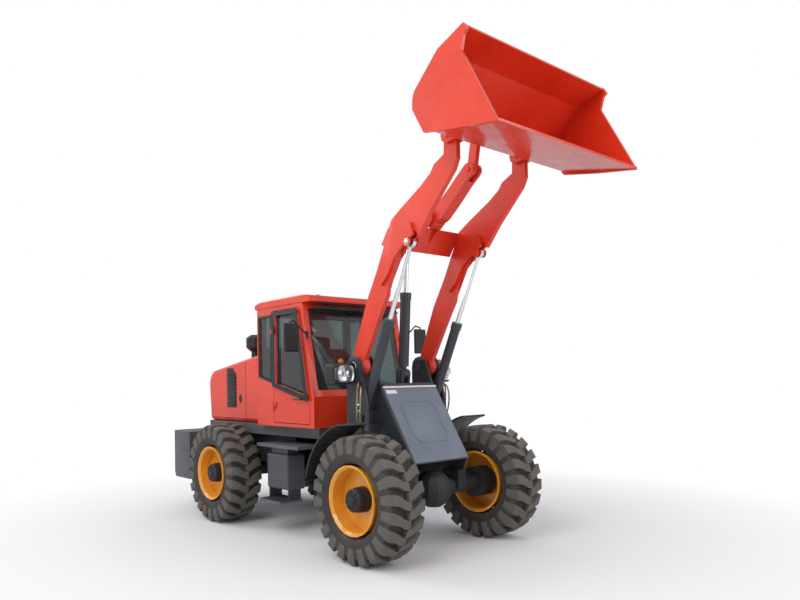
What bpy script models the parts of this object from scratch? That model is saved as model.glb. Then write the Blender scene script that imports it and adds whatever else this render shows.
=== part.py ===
"""Articulated wheel loader, boom raised and bucket up, as separate named pieces.

Units are metres. The working frame has X forward, Y to the machine's left and Z up, with
X = 0 at the front axle and Z = 0 on the ground. At the end the whole machine is moved along X
so that its origin is the middle of its box on the ground.
"""

import math

import bmesh
import bpy
from mathutils import Matrix, Vector

# ---------------------------------------------------------------- driving dimensions
TYRE_RADIUS = 0.595
TYRE_WIDTH = 0.41
TRACK = 1.71
WHEELBASE = 2.74
RIM_RADIUS = 0.325
RUN_GAP = 0.008  # between pieces that move past each other
SEAT_GAP = 0.0003  # between pieces that touch

AXLE_Z = TYRE_RADIUS
REAR_AXLE_X = -WHEELBASE
HINGE_X = -WHEELBASE / 2  # centre articulation

# cab
CAB_HALF = 0.70
CAB_WALL = 0.05
CAB_FLOOR = 1.19
CAB_TOP = 2.56
CAB_REAR = HINGE_X - 0.80
CAB_FRONT = HINGE_X + 0.35
ROOF_THICK = 0.09

# hood and counterweight
HOOD_HALF = 0.60
HOOD_WALL = 0.02
HOOD_REAR = REAR_AXLE_X - 0.88
HOOD_TOP_FRONT = 2.06
HOOD_TOP_REAR = 1.88
HOOD_BOTTOM = 1.20
WEIGHT_HALF = 0.90
WEIGHT_REAR = REAR_AXLE_X - 1.44
WEIGHT_TOP = 1.05
WEIGHT_BOTTOM = 0.42

# boom, in the side view (X, Z)
BOOM_PIVOT = Vector((-0.494, 1.838))
ARM_CENTRE = 0.484  # half the distance between the two arms' middle planes
ARM_THICK = 0.05
CHEEK_THICK = 0.03
LIFT_EYE = Vector((0.285, 2.985))
LIFT_BASE = Vector((-0.425, 1.42))
LIFT_BARREL = 0.95
BUCKET_PIN = Vector((0.82, 3.84))
ROCKER_PIVOT = Vector((0.12, 3.31))
ROCKER_TIP = Vector((0.635, 3.665))
ROCKER_FOOT = Vector((-0.255, 3.36))
LINK_PIN = Vector((0.70, 4.02))
TILT_BASE = Vector((-0.37, 1.76))
TILT_BARREL = 0.85
ROCKER_THICK = 0.13
LINK_THICK = 0.05
CROSS_LOW = Vector((-0.10, 3.0))
CROSS_HIGH = Vector((0.05, 3.225))
CROSS_THICK = 0.07
CROSS_BEVEL = 0.10

# bucket
BUCKET_HALF = 1.0
BUCKET_PLATE = 0.02
BUCKET_SIDE = 0.03

# frame plates
FRAME_HALF = ARM_CENTRE - 0.10  # outer face of the front frame's side plates
FRAME_PLATE = 0.03
TOWER_INNER = ARM_CENTRE + 0.061  # inner face of the outer tower plates
TOWER_PLATE = 0.03

ORIGIN_X = -(WEIGHT_REAR + 1.735) / 2

HOOD_ROUND = 0.20
HOOD_SLOPE = (HOOD_TOP_FRONT - HOOD_TOP_REAR) / (CAB_REAR - HOOD_REAR - HOOD_ROUND)

ROUND = 20  # sides of a round bar
WHEEL_STEPS = 24  # sides of a wheel

# ---------------------------------------------------------------- scene and materials
MODEL = "wheel_loader"
MATERIALS = (
    # name, colour, roughness, metallic
    ("red_paint", (0.86, 0.07, 0.02), 0.35, 0.0),
    ("boom_paint", (0.80, 0.05, 0.015), 0.4, 0.0),
    ("frame_paint", (0.05, 0.06, 0.08), 0.5, 0.0),
    ("weight_paint", (0.13, 0.13, 0.13), 0.6, 0.0),
    ("cylinder_paint", (0.035, 0.04, 0.05), 0.45, 0.0),
    ("chrome", (0.8, 0.8, 0.8), 0.12, 1.0),
    ("tyre_rubber", (0.035, 0.033, 0.03), 0.85, 0.0),
    ("rim_paint", (0.85, 0.35, 0.03), 0.4, 0.0),
    ("black_plastic", (0.02, 0.02, 0.02), 0.5, 0.0),
    ("cab_glass", (0.45, 0.55, 0.55), 0.05, 0.0),
    ("cast_iron", (0.06, 0.06, 0.065), 0.6, 0.3),
    ("seat_vinyl", (0.03, 0.03, 0.03), 0.7, 0.0),
    ("tube_metal", (0.35, 0.27, 0.12), 0.35, 0.9),
)


def clear_scene():
    for obj in list(bpy.data.objects):
        bpy.data.objects.remove(obj, do_unlink=True)


def make_material(name, colour, roughness, metallic):
    material = bpy.data.materials.new(name)
    material.use_nodes = True
    shader = material.node_tree.nodes["Principled BSDF"]
    shader.inputs["Base Color"].default_value = (*colour, 1.0)
    shader.inputs["Roughness"].default_value = roughness
    shader.inputs["Metallic"].default_value = metallic
    return material


clear_scene()
PARTS = bpy.data.collections.new(MODEL)
bpy.context.scene.collection.children.link(PARTS)
MATERIAL = {row[0]: make_material(*row) for row in MATERIALS}
BODY_AT = {}


# ---------------------------------------------------------------- modelling tools
def add_body(name, x, y, z, parent=None):
    """An empty on the joint's axis, which carries the pieces that move together."""
    empty = bpy.data.objects.new(name, None)
    BODY_AT[name] = Vector((x, y, z))
    empty.location = BODY_AT[name]
    PARTS.objects.link(empty)
    if parent:
        hold(empty, parent)
    return name


def hold(obj, body):
    """Parents a piece drawn in the machine's frame to its body without moving it."""
    obj.parent = bpy.data.objects[body]
    obj.matrix_parent_inverse = Matrix.Translation(-BODY_AT[body])


def finish(obj, name, body, material):
    """Gives a finished shape its node's name, its paint and the body that carries it."""
    obj.name = name
    obj.data.name = name
    obj.data.materials.clear()
    obj.data.materials.append(MATERIAL[material])
    obj.data.shade_smooth()
    obj.data.set_sharp_from_angle(angle=math.radians(35))
    hold(obj, body)
    return obj


def object_of(mesh):
    obj = bpy.data.objects.new("shape", mesh)
    PARTS.objects.link(obj)
    return obj


def bake(obj, weld=True):
    """Replaces a curve, or a mesh with modifiers, by the closed mesh that it evaluates to."""
    bpy.context.view_layer.update()
    graph = bpy.context.evaluated_depsgraph_get()
    mesh = bpy.data.meshes.new_from_object(obj.evaluated_get(graph))
    mesh.transform(obj.matrix_world)
    shape = bmesh.new()
    shape.from_mesh(mesh)
    if weld:
        bmesh.ops.remove_doubles(shape, verts=shape.verts, dist=0.00001)
    bmesh.ops.recalc_face_normals(shape, faces=shape.faces)
    shape.to_mesh(mesh)
    shape.free()
    bpy.data.objects.remove(obj, do_unlink=True)
    return object_of(mesh)


def boolean(obj, other, operation, solver="EXACT"):
    modifier = obj.modifiers.new(operation.lower(), "BOOLEAN")
    modifier.operation = operation
    modifier.solver = solver
    modifier.object = other
    result = bake(obj, weld=False)
    bpy.data.objects.remove(other, do_unlink=True)
    return result


def union(pieces, solver="EXACT"):
    whole = pieces[0]
    for piece in pieces[1:]:
        whole = boolean(whole, piece, "UNION", solver)
    return whole


def cut(obj, cutters, solver="EXACT"):
    for cutter in cutters:
        obj = boolean(obj, cutter, "DIFFERENCE", solver)
    return obj


def round_edges(obj, width, segments=2, angle=30):
    bevel = obj.modifiers.new("rounding", "BEVEL")
    bevel.width = width
    bevel.segments = segments
    bevel.limit_method = "ANGLE"
    bevel.angle_limit = math.radians(angle)
    return bake(obj)


def box(low, high):
    """A block between two opposite corners."""
    low, high = Vector(low), Vector(high)
    shape = bmesh.new()
    place = Matrix.Translation((low + high) / 2) @ Matrix.Diagonal((high - low).to_4d())
    bmesh.ops.create_cube(shape, size=1, matrix=place)
    mesh = bpy.data.meshes.new("box")
    shape.to_mesh(mesh)
    shape.free()
    return object_of(mesh)


def side_box(side, x, y, z):
    """A block given by its ranges, with y measured outwards on the side +1 or -1."""
    ys = sorted((side * y[0], side * y[1]))
    return box((x[0], ys[0], z[0]), (x[1], ys[1], z[1]))


def rod(start, end, radius, sides=ROUND, end_radius=None):
    """A round bar, or a taper, between two points."""
    start, end = Vector(start), Vector(end)
    along = end - start
    shape = bmesh.new()
    place = Matrix.Translation((start + end) / 2) @ along.to_track_quat("Z", "Y").to_matrix().to_4x4()
    bmesh.ops.create_cone(
        shape,
        cap_ends=True,
        segments=sides,
        radius1=radius,
        radius2=radius if end_radius is None else end_radius,
        depth=along.length,
        matrix=place,
    )
    mesh = bpy.data.meshes.new("rod")
    shape.to_mesh(mesh)
    shape.free()
    return object_of(mesh)


def ball(centre, radius, squash=(1, 1, 1)):
    shape = bmesh.new()
    place = Matrix.Translation(centre) @ Matrix.Diagonal((*squash, 1))
    bmesh.ops.create_uvsphere(shape, u_segments=12, v_segments=8, radius=radius, matrix=place)
    mesh = bpy.data.meshes.new("ball")
    shape.to_mesh(mesh)
    shape.free()
    return object_of(mesh)


MANY_PLATES = "MANIFOLD"  # the solver for plates that meet in many flush faces
SIDE_VIEW = Matrix.Rotation(math.pi / 2, 4, "X")  # an outline's (x, y) becomes (X, Z)
PLAN = Matrix.Identity(4)


def flat(loops, low, high, view=SIDE_VIEW):
    """A flat outline with its holes, thick from low to high along the view's normal."""
    curve = bpy.data.curves.new("outline", "CURVE")
    curve.dimensions = "2D"
    curve.fill_mode = "BOTH"
    curve.extrude = (high - low) / 2
    for loop in loops:
        spline = curve.splines.new("POLY")
        spline.points.add(len(loop) - 1)
        for point, place in zip(spline.points, loop):
            point.co = (place[0], place[1], 0, 1)
        spline.use_cyclic_u = True
    obj = bpy.data.objects.new("outline", curve)
    PARTS.objects.link(obj)
    normal = view.to_3x3() @ Vector((0, 0, 1))
    middle = (high + low) / 2
    obj.matrix_world = Matrix.Translation(abs_axis(normal) * middle) @ view
    return bake(obj)


def abs_axis(normal):
    return Vector([abs(round(part)) for part in normal])


def side_plate(side, loops, low, high):
    """A plate parallel to the side view, low to high metres outwards from the middle."""
    inner, outer = sorted((side * low, side * high))
    return flat(loops, inner, outer)


def arc(centre, radius, start, end, steps=8):
    """Points on an arc, with its angles in degrees."""
    angles = (math.radians(start + (end - start) * i / steps) for i in range(steps + 1))
    return [(centre[0] + radius * math.cos(a), centre[1] + radius * math.sin(a)) for a in angles]


def ring(centre, radius, steps=24):
    return arc(centre, radius, 0, 360 * (steps - 1) / steps, steps - 1)


def ribbon(path, half_widths, steps=6):
    """The outline of a bar that follows a path, with round ends."""
    points = [Vector(p) for p in path]
    left, right = [], []
    for i, point in enumerate(points):
        ahead = points[min(i + 1, len(points) - 1)]
        behind = points[max(i - 1, 0)]
        along = (ahead - behind).normalized()
        across = Vector((-along.y, along.x)) * half_widths[i]
        left.append(tuple(point + across))
        right.append(tuple(point - across))
    first = math.degrees(math.atan2(*(points[0] - points[1]).yx))
    last = math.degrees(math.atan2(*(points[-1] - points[-2]).yx))
    end_cap = arc(points[-1], half_widths[-1], last + 90, last - 90, steps)
    start_cap = arc(points[0], half_widths[0], first + 90, first - 90, steps)
    return left[1:-1] + end_cap + right[-2:0:-1] + start_cap


def sheet(path, thickness):
    """The outline of a bent sheet: a path and its copy, moved to the path's left side."""
    points = [Vector(p) for p in path]
    moved = []
    for i, point in enumerate(points):
        edges = []
        if i > 0:
            edges.append((point - points[i - 1]).normalized())
        if i < len(points) - 1:
            edges.append((points[i + 1] - point).normalized())
        across = sum((Vector((-e.y, e.x)) for e in edges), Vector((0, 0)))
        across = across.normalized()
        stretch = across.dot(Vector((-edges[0].y, edges[0].x)))
        moved.append(tuple(point + across * thickness / stretch))
    return [tuple(p) for p in points] + moved[::-1]


def turned(profile, centre, side, steps=WHEEL_STEPS):
    """A closed profile of (radius, distance outwards) turned about an axis along Y."""
    mesh = bpy.data.meshes.new("profile")
    edges = [(i, (i + 1) % len(profile)) for i in range(len(profile))]
    mesh.from_pydata([(radius, 0, offset) for radius, offset in profile], edges, [])
    obj = object_of(mesh)
    screw = obj.modifiers.new("turn", "SCREW")
    screw.angle = 2 * math.pi
    screw.steps = steps
    screw.render_steps = steps
    screw.use_merge_vertices = True
    screw.merge_threshold = 0.00001
    screw.axis = "Z"
    obj.matrix_world = Matrix.Translation(centre) @ Matrix.Rotation(-side * math.pi / 2, 4, "X")
    return bake(obj)


def tube(points, radius):
    """A bent pipe with closed ends."""
    curve = bpy.data.curves.new("tube", "CURVE")
    curve.dimensions = "3D"
    curve.bevel_depth = radius
    curve.bevel_resolution = 2
    curve.use_fill_caps = True
    spline = curve.splines.new("POLY")
    spline.points.add(len(points) - 1)
    for point, place in zip(spline.points, points):
        point.co = (*place, 1)
    obj = bpy.data.objects.new("tube", curve)
    PARTS.objects.link(obj)
    return bake(obj)


def at(point, y):
    """A point of the side view, moved to a distance from the middle."""
    return Vector((point[0], y, point[1]))


def pin(point, side, low, high, radius):
    return rod(at(point, side * low), at(point, side * high), radius)


# ---------------------------------------------------------------- bodies, each on its joint's axis
SIDES = (("right", -1), ("left", 1))
rear_body = add_body("rear_body", 0, 0, 0)
front_body = add_body("front_body", HINGE_X, 0, 0.74, rear_body)
boom_body = add_body("boom_body", *at(BOOM_PIVOT, 0), front_body)
rocker_body = add_body("rocker_body", *at(ROCKER_PIVOT, 0), boom_body)
link_body = add_body("link_body", *at(ROCKER_TIP, 0), rocker_body)
bucket_body = add_body("bucket_body", *at(BUCKET_PIN, 0), boom_body)

# ---------------------------------------------------------------- wheels
RIM_SEAT = RIM_RADIUS - 0.02
RIM_HALF = 0.195
RIM_WALL = 0.012
FLANGE = 0.0225
DISC = (0.02, 0.036)  # the disc's two faces, outwards from the tyre's middle
HUB_RADIUS = 0.118
HUB_BORE = HUB_RADIUS / math.cos(math.pi / WHEEL_STEPS) + 0.0003
BEAD = RIM_HALF - FLANGE - SEAT_GAP


def tyre_profile():
    half = TYRE_WIDTH / 2
    side = [
        (RIM_SEAT + SEAT_GAP * 2, BEAD),
        (RIM_RADIUS + 0.004, BEAD),
        (RIM_RADIUS + 0.02, half - 0.015),
        (RIM_RADIUS + 0.11, half),
        (TYRE_RADIUS - 0.07, half - 0.008),
        (TYRE_RADIUS - 0.022, half - 0.035),
        (TYRE_RADIUS, half - 0.07),
    ]
    return side + [(radius, -offset) for radius, offset in side[::-1]]


def rim_profile():
    barrel = RIM_SEAT - RIM_WALL
    edge = RIM_HALF - FLANGE
    lip = RIM_RADIUS - RIM_WALL
    outside = [(RIM_RADIUS, RIM_HALF), (RIM_RADIUS, edge), (RIM_SEAT, edge)]
    inside = [(radius, -offset) for radius, offset in outside[::-1]]
    back = [(lip, -RIM_HALF), (barrel, -edge), (barrel, DISC[0]), (HUB_BORE, DISC[0])]
    front = [(HUB_BORE, DISC[1]), (barrel, DISC[1]), (barrel, edge), (lip, RIM_HALF)]
    return outside + inside + back + front


AXLES = (("front", 0.0, front_body), ("rear", REAR_AXLE_X, rear_body))
for axle_name, axle_x, carrier in AXLES:
    for side_name, side in SIDES:
        centre = Vector((axle_x, side * TRACK / 2, AXLE_Z))
        wheel = add_body(f"{axle_name}_{side_name}_wheel_body", *centre, carrier)
        tyre = turned(tyre_profile(), centre, side)
        finish(tyre, f"{axle_name}_{side_name}_tyre", wheel, "tyre_rubber")
        rim = turned(rim_profile(), centre, side)
        finish(rim, f"{axle_name}_{side_name}_rim", wheel, "rim_paint")

# ---------------------------------------------------------------- axles
AXLE_TUBE = 0.085
DRUM = 0.16
DRUM_INNER = TRACK / 2 - 0.22
DRUM_OUTER = TRACK / 2 - 0.03
HUB_END = TRACK / 2 + 0.11
DIFF_RADIUS = 0.19
PAD_HALF_X = 0.11


def axle(x, nose, pad_inner, pad_outer, pad_top):
    """A driven axle: housing, differential, brake drums, hubs and the pads that bolt it on."""
    pieces = [
        rod((x, -DRUM_INNER - 0.02, AXLE_Z), (x, DRUM_INNER + 0.02, AXLE_Z), AXLE_TUBE),
        ball((x + nose * 0.03, 0, AXLE_Z), DIFF_RADIUS),
        rod((x, 0, AXLE_Z), (x - nose * 0.24, 0, AXLE_Z), 0.075),
    ]
    for _, side in SIDES:
        for inner, outer, radius in (
            (DRUM_INNER, DRUM_OUTER, DRUM),
            (DRUM_OUTER - 0.02, HUB_END, HUB_RADIUS),
        ):
            pieces.append(rod((x, side * inner, AXLE_Z), (x, side * outer, AXLE_Z), radius))
        reach = (x - PAD_HALF_X, x + PAD_HALF_X)
        pieces.append(side_box(side, reach, (pad_inner, pad_outer), (AXLE_Z - 0.03, pad_top)))
    return union(pieces, MANY_PLATES)


FRONT_SEAT_Z = 0.76  # underside of the front frame over its axle
REAR_SEAT_Z = 0.80
RAIL_INNER = 0.44
RAIL_OUTER = 0.47
finish(
    axle(0, 1, FRAME_HALF - 0.10, FRAME_HALF + 0.02, FRONT_SEAT_Z - SEAT_GAP),
    "front_axle", front_body, "cast_iron",
)
finish(
    axle(REAR_AXLE_X, -1, RAIL_INNER - 0.06, RAIL_OUTER + 0.02, REAR_SEAT_Z - SEAT_GAP),
    "rear_axle", rear_body, "cast_iron",
)

# ---------------------------------------------------------------- rear frame
LUG_RADIUS = 0.13
FRONT_LUG = (0.60, 0.87)
REAR_LUG_GAP = 0.006
HINGE_PIN = 0.05
STEER_Z = 0.72
STEER_BASE = Vector((HINGE_X - 0.58, 0.33))
STEER_EYE = Vector((HINGE_X + 0.37, 0.34))
EYE_HALF = 0.03
CLEVIS = 0.02
RAIL_FRONT = HINGE_X - 0.35
DECK_TOP = HOOD_BOTTOM - SEAT_GAP
WEIGHT_FRONT = HOOD_REAR + 0.02
RAIL_TOP = 1.10
HINGE_BLOCK = HINGE_X - 0.17


def clevis(side, centre, reach_x, reach_y):
    """Two level plates that hold a steering cylinder's eye between them."""
    plates = []
    for low in (STEER_Z + EYE_HALF + 0.003, STEER_Z - EYE_HALF - 0.003 - CLEVIS):
        plates.append(side_box(side, reach_x, reach_y, (low, low + CLEVIS)))
    return plates


def rear_frame():
    lugs = []
    lower = (FRONT_LUG[0] - REAR_LUG_GAP - 0.07, FRONT_LUG[0] - REAR_LUG_GAP)
    upper = (FRONT_LUG[1] + REAR_LUG_GAP, FRONT_LUG[1] + REAR_LUG_GAP + 0.07)
    centre = (HINGE_X, 0)
    outline = arc(centre, LUG_RADIUS, -90, 90, 8) + [(HINGE_BLOCK - 0.02, 0.17), (HINGE_BLOCK - 0.02, -0.17)]
    for low, high in (lower, upper):
        lugs.append(flat([outline], low, high, PLAN))
    pieces = [box((RAIL_FRONT - 0.02, -0.17, lower[0]), (HINGE_BLOCK, 0.17, upper[1]))]
    pieces += lugs
    pieces.append(rod((HINGE_X, 0, lower[0] - 0.02), (HINGE_X, 0, upper[1] + 0.02), HINGE_PIN))
    top = (upper[1] - 0.03, upper[1] + 0.005)
    bottom = (lower[0] - 0.005, lower[0] + 0.03)
    for low, high in (top, bottom):
        pieces.append(box((RAIL_FRONT - 0.42, -RAIL_OUTER + 0.01, low), (RAIL_FRONT, RAIL_OUTER - 0.01, high)))
    rail = [
        (RAIL_FRONT, lower[0] - 0.01),
        (RAIL_FRONT, RAIL_TOP),
        (WEIGHT_FRONT + SEAT_GAP, RAIL_TOP),
        (WEIGHT_FRONT + SEAT_GAP, REAR_SEAT_Z),
        (RAIL_FRONT - 0.72, REAR_SEAT_Z),
        (RAIL_FRONT - 0.52, lower[0] - 0.01),
    ]
    beam_x = (STEER_BASE.x - 0.13, STEER_BASE.x - 0.05)
    for _, side in SIDES:
        pieces.append(side_plate(side, [rail], RAIL_INNER, RAIL_OUTER))
        reach = (beam_x[1] - 0.02, STEER_BASE.x + 0.04)
        pieces += clevis(side, STEER_BASE, reach, (STEER_BASE.y - 0.045, STEER_BASE.y + 0.045))
        base = STEER_BASE
        low, high = STEER_Z - EYE_HALF - 0.03, STEER_Z + EYE_HALF + 0.03
        pieces.append(rod((base.x, side * base.y, low), (base.x, side * base.y, high), 0.018))
        platform = (RAIL_OUTER - 0.01, PLATFORM_Y)
        pieces.append(side_box(side, (CAB_REAR + 0.22, PLATFORM_FRONT), platform, PLATFORM_Z))
    pieces.append(box((beam_x[0], -RAIL_INNER - 0.01, 0.63), (beam_x[1], RAIL_INNER + 0.01, 0.81)))
    # the cab's bearers and the deck under the hood
    pieces.append(box((CAB_REAR, -0.60, RAIL_TOP - 0.03), (CAB_FRONT - 0.05, 0.60, CAB_FLOOR - SEAT_GAP)))
    pieces.append(box((WEIGHT_FRONT + 0.02, -HOOD_HALF, RAIL_TOP - 0.03), (CAB_REAR - 0.005, HOOD_HALF, DECK_TOP)))
    pieces.append(box((CAB_REAR - 0.02, -0.5, RAIL_TOP - 0.03), (CAB_REAR + 0.02, 0.5, RAIL_TOP + 0.03)))
    return union(pieces)


PLATFORM_FRONT = HINGE_X + 0.24
PLATFORM_Y = 0.85
PLATFORM_Z = (0.965, 1.0)
finish(rear_frame(), "rear_frame", rear_body, "frame_paint")

# ---------------------------------------------------------------- counterweight
TOW_SLOT = (0.12, 0.58, 0.70)  # width, bottom and top of the towing jaw


def counterweight():
    outline = [
        (WEIGHT_FRONT, -WEIGHT_HALF),
        *arc((WEIGHT_REAR + 0.14, -WEIGHT_HALF + 0.14), 0.14, -90, -180, 5),
        *arc((WEIGHT_REAR + 0.14, WEIGHT_HALF - 0.14), 0.14, 180, 90, 5),
        (WEIGHT_FRONT, WEIGHT_HALF),
    ]
    body = flat([outline], WEIGHT_BOTTOM, WEIGHT_TOP, PLAN)
    slope = [
        (WEIGHT_REAR - 0.1, WEIGHT_BOTTOM - 0.1),
        (WEIGHT_REAR + 0.22, WEIGHT_BOTTOM - 0.1),
        (WEIGHT_REAR - 0.1, WEIGHT_BOTTOM + 0.32),
    ]
    width, low, high = TOW_SLOT
    jaw = box((WEIGHT_REAR - 0.1, -width / 2, low), (WEIGHT_REAR + 0.14, width / 2, high))
    return cut(body, [flat([slope], -1.2, 1.2), jaw])


finish(counterweight(), "counterweight", rear_body, "weight_paint")


# ---------------------------------------------------------------- engine, gearbox and hood
def hood_top(x):
    return HOOD_TOP_FRONT - HOOD_SLOPE * (CAB_REAR - x)


ENGINE = ((REAR_AXLE_X - 0.62, -0.30, DECK_TOP + SEAT_GAP), (REAR_AXLE_X + 0.30, 0.30, 1.72))
finish(box(*ENGINE), "engine_block", rear_body, "cast_iron")
gearbox = box((RAIL_FRONT - 0.75, -0.26, 0.60), (RAIL_FRONT - 0.43, 0.26, RAIL_TOP - 0.03 - SEAT_GAP))
finish(gearbox, "transmission_block", rear_body, "cast_iron")



def hood_outline(inset):
    front = CAB_REAR - 0.006
    rear = HOOD_REAR + inset
    top = HOOD_TOP_REAR - inset
    return [
        (front + (inset * 4 if inset else 0), HOOD_BOTTOM - (0.2 if inset else 0)),
        (front + (inset * 4 if inset else 0), hood_top(front) - inset),
        *arc((rear + HOOD_ROUND, top - HOOD_ROUND), HOOD_ROUND, 90, 180, 6),
        (rear + 0.04, HOOD_BOTTOM - (0.2 if inset else 0)),
    ]


def engine_hood():
    """A shell open below, and open in front where the cab closes it."""
    skin = flat([hood_outline(0)], -HOOD_HALF, HOOD_HALF)
    skin = round_edges(skin, 0.05, 2, 60)
    inner = HOOD_HALF - 0.05
    return cut(skin, [flat([hood_outline(HOOD_WALL * 2.5)], -inner, inner)])


finish(engine_hood(), "engine_hood", rear_body, "red_paint")

CLEANER = Vector((HINGE_X - 1.30, -0.42))
EXHAUST = Vector((HINGE_X - 1.22, 0.40))


def air_precleaner():
    base = hood_top(CLEANER.x + 0.05) + SEAT_GAP
    x, y = CLEANER
    return union([
        rod((x, y, base), (x, y, base + 0.12), 0.05),
        rod((x, y, base + 0.10), (x, y, base + 0.15), 0.06, 24, 0.115),
        rod((x, y, base + 0.149), (x, y, base + 0.27), 0.115),
        rod((x, y, base + 0.269), (x, y, base + 0.31), 0.115, 24, 0.06),
    ])


def exhaust_pipe():
    x, y = EXHAUST
    base = hood_top(x + 0.06) + SEAT_GAP
    return union([
        rod((x, y, base), (x, y, base + 0.03), 0.06),
        tube([(x, y, base + 0.01), (x, y, base + 0.46), (x - 0.02, y, base + 0.50),
              (x - 0.06, y, base + 0.54)], 0.035),
    ])


finish(air_precleaner(), "air_precleaner", rear_body, "black_plastic")
finish(exhaust_pipe(), "exhaust_pipe", rear_body, "black_plastic")


# ---------------------------------------------------------------- cab
PILLAR = 0.07
DOOR_REAR = CAB_REAR + 0.37
DOOR_GAP = RUN_GAP
DOOR_SILL = CAB_FLOOR + 0.045
DOOR_TOP = CAB_TOP - 0.05
DOOR_FRAME = 0.05
GLASS = 0.006
GLASS_INSET = 0.014  # from the wall's outer face to the glass
FRONT_LINE = ((CAB_FRONT, CAB_FLOOR), (CAB_FRONT, 1.53), (CAB_FRONT - 0.14, 2.24), (CAB_FRONT - 0.19, CAB_TOP))
WAIST_REAR = 1.785
WAIST_SLOPE = 0.245
SCREEN_LOW = 1.60
SCREEN_HALF = CAB_HALF - PILLAR
REAR_SCREEN = (HOOD_TOP_FRONT + 0.05, CAB_TOP - 0.08)


def front_line(z):
    """X of the cab's front face at a height."""
    for (x0, z0), (x1, z1) in zip(FRONT_LINE, FRONT_LINE[1:]):
        if z <= z1:
            return x0 + (x1 - x0) * (z - z0) / (z1 - z0)
    return FRONT_LINE[-1][0]


def waist(x):
    """Height of the side windows' lower edge."""
    return WAIST_REAR - WAIST_SLOPE * (x - CAB_REAR)


def shrink(loop, gap):
    """A convex outline moved inwards by a gap."""
    points = [Vector(p) for p in loop]
    area = sum(a.x * b.y - b.x * a.y for a, b in zip(points, points[1:] + points[:1]))
    turn = 1 if area > 0 else -1
    result = []
    for i, point in enumerate(points):
        before = (point - points[i - 1]).normalized()
        after = (points[(i + 1) % len(points)] - point).normalized()
        first = Vector((-before.y, before.x)) * turn
        second = Vector((-after.y, after.x)) * turn
        across = (first + second).normalized()
        result.append(tuple(point + across * gap / across.dot(first)))
    return result


def door_outline():
    rear = DOOR_REAR
    ahead = PILLAR + 0.01
    return [
        (rear, DOOR_SILL),
        (front_line(1.5) - ahead, DOOR_SILL),
        (front_line(1.53) - ahead, 1.53),
        (front_line(2.24) - ahead, 2.24),
        (front_line(DOOR_TOP) - ahead, DOOR_TOP),
        (rear, DOOR_TOP),
    ]


def door_window():
    rear = DOOR_REAR + DOOR_FRAME
    top = DOOR_TOP - DOOR_FRAME
    ahead = PILLAR + 0.01 + DOOR_FRAME
    low = front_line(1.53) - ahead
    return [
        (rear, waist(rear)),
        (low, waist(low)),
        (front_line(2.24) - ahead, 2.24),
        (front_line(top) - ahead, top),
        (rear, top),
    ]


def quarter_window():
    rear, front = CAB_REAR + 0.055, DOOR_REAR - 0.06
    top = DOOR_TOP - DOOR_FRAME
    return [(rear, waist(rear)), (front, waist(front)), (front, top), (rear, top)]


KNUCKLE = 0.014
HINGE_OUT = CAB_HALF + KNUCKLE + 0.001
HINGE_HEIGHTS = (1.42, 2.30)
KNUCKLE_LONG = 0.045


def knuckle(side, low, high, reach):
    """A door hinge's knuckle with the leaf that fixes it to a panel on the side +1 or -1 of it."""
    y = side * HINGE_OUT
    barrel = rod((DOOR_REAR, y, low), (DOOR_REAR, y, high), KNUCKLE, 16)
    edges = sorted((DOOR_REAR + reach * 0.004, DOOR_REAR + reach * 0.05))
    leaf = side_box(side, edges, (CAB_HALF - 0.01, HINGE_OUT), (low, high))
    return [barrel, leaf]


def cab_shell():
    outline = [(CAB_REAR, CAB_FLOOR), *FRONT_LINE, (CAB_REAR + 0.02, CAB_TOP)]
    inner = shrink(outline, CAB_WALL)
    inner[-1] = (CAB_REAR + CAB_WALL + 0.02, CAB_TOP + 0.1)
    inner[-2] = (FRONT_LINE[-1][0] - CAB_WALL - 0.02, CAB_TOP + 0.1)
    shell = flat([outline], -CAB_HALF, CAB_HALF)
    cutters = [flat([inner], -CAB_HALF + CAB_WALL, CAB_HALF - CAB_WALL)]
    cutters.append(box((CAB_FRONT - 0.4, -SCREEN_HALF, SCREEN_LOW), (CAB_FRONT + 0.1, SCREEN_HALF, CAB_TOP - 0.06)))
    cutters.append(box((CAB_REAR - 0.1, -0.60, REAR_SCREEN[0]), (CAB_REAR + 0.15, 0.60, REAR_SCREEN[1])))
    for _, side in SIDES:
        opening = shrink(door_outline(), -DOOR_GAP)
        cutters.append(side_plate(side, [opening], CAB_HALF - CAB_WALL - 0.02, CAB_HALF + 0.02))
        cutters.append(side_plate(side, [quarter_window()], CAB_HALF - CAB_WALL - 0.02, CAB_HALF + 0.02))
    shell = cut(shell, cutters)
    pieces = [shell]
    for _, side in SIDES:
        for z in HINGE_HEIGHTS:
            pieces += knuckle(side, z - KNUCKLE_LONG, z, -1)
    return union(pieces)


finish(cab_shell(), "cab_shell", rear_body, "red_paint")

roof = flat([[
    (CAB_REAR - 0.03, CAB_TOP + SEAT_GAP),
    (CAB_FRONT - 0.03, CAB_TOP + SEAT_GAP),
    (CAB_FRONT - 0.05, CAB_TOP + ROOF_THICK - 0.02),
    (CAB_FRONT - 0.20, CAB_TOP + ROOF_THICK),
    (CAB_REAR + 0.10, CAB_TOP + ROOF_THICK),
    (CAB_REAR - 0.03, CAB_TOP + ROOF_THICK - 0.03),
]], -CAB_HALF - 0.01, CAB_HALF + 0.01)
finish(round_edges(roof, 0.015, 2), "cab_roof", rear_body, "red_paint")

PANE_GAP = SEAT_GAP + 0.0002


def screen_path(low, high):
    inset = GLASS_INSET + GLASS
    heights = [low, *(z for _, z in FRONT_LINE if low < z < high), high]
    return [(front_line(z) - inset, z) for z in heights]


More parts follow.
